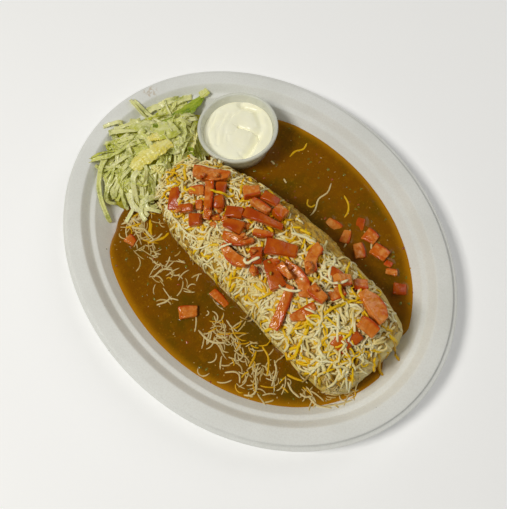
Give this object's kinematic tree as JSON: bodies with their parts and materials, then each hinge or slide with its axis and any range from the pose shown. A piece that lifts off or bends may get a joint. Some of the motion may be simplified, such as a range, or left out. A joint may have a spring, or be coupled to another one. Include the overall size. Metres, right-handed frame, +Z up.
{
  "type": "smothered burrito plate",
  "caption": "Rolled burrito under shredded cheese and diced tomato, in chile sauce on an oval plate, with shredded lettuce and a portion cup of sour cream.",
  "frame": {"origin": "on the surface that the plate stands on, under the middle of the oval", "axes": "+X along the plate's long axis and the burrito, away from the lettuce; +Z up; +Y to the side with the sour cream cup"},
  "size_m": [0.318, 0.254, 0.0639],
  "materials": {
    "moulded_fibre": "off-white moulded plant fibre, matte, with faint mesh marks and a few sauce stains",
    "chile_sauce": "wet orange-brown green-chile sauce, glossy, with seeds, pepper specks and bits of chile",
    "tortilla": "soft flour tortilla, moist and slightly translucent, stained by the sauce",
    "shredded_cheese": "cream-white and orange-yellow shreds, part melted where they meet the sauce",
    "tomato": "wet cut tomato, red skin side and paler watery flesh",
    "lettuce": "pale translucent ribs with yellow core pieces and some bright green leaf",
    "clear_cup": "thin translucent polypropylene with a rolled rim",
    "sour_cream": "smooth ivory cream, spooned in folds, soft sheen"
  },
  "bodies": {
    "root": {"plate": "moulded_fibre", "sauce": "chile_sauce", "burrito": "tortilla", "cheese": "shredded_cheese", "lettuce": "lettuce", "dip_cup": "clear_cup", "sour_cream": "sour_cream", "tomato_01": "tomato", "tomato_02": "tomato", "tomato_03": "tomato", "tomato_04": "tomato", "tomato_05": "tomato", "tomato_06": "tomato", "tomato_07": "tomato", "tomato_08": "tomato", "tomato_09": "tomato", "tomato_10": "tomato", "tomato_11": "tomato", "tomato_12": "tomato", "tomato_13": "tomato", "tomato_14": "tomato", "tomato_15": "tomato", "tomato_16": "tomato", "tomato_17": "tomato", "tomato_18": "tomato", "tomato_19": "tomato", "tomato_20": "tomato", "tomato_21": "tomato", "tomato_22": "tomato", "tomato_23": "tomato", "tomato_24": "tomato", "tomato_25": "tomato", "tomato_26": "tomato", "tomato_27": "tomato", "tomato_28": "tomato", "tomato_29": "tomato", "tomato_30": "tomato", "tomato_31": "tomato", "tomato_32": "tomato", "tomato_33": "tomato", "tomato_34": "tomato", "tomato_35": "tomato", "tomato_36": "tomato", "tomato_37": "tomato", "tomato_38": "tomato", "tomato_39": "tomato", "tomato_40": "tomato", "tomato_41": "tomato", "tomato_42": "tomato", "tomato_43": "tomato", "tomato_44": "tomato", "tomato_45": "tomato", "tomato_46": "tomato", "tomato_47": "tomato", "tomato_48": "tomato", "tomato_49": "tomato"}
  },
  "joints": []
}
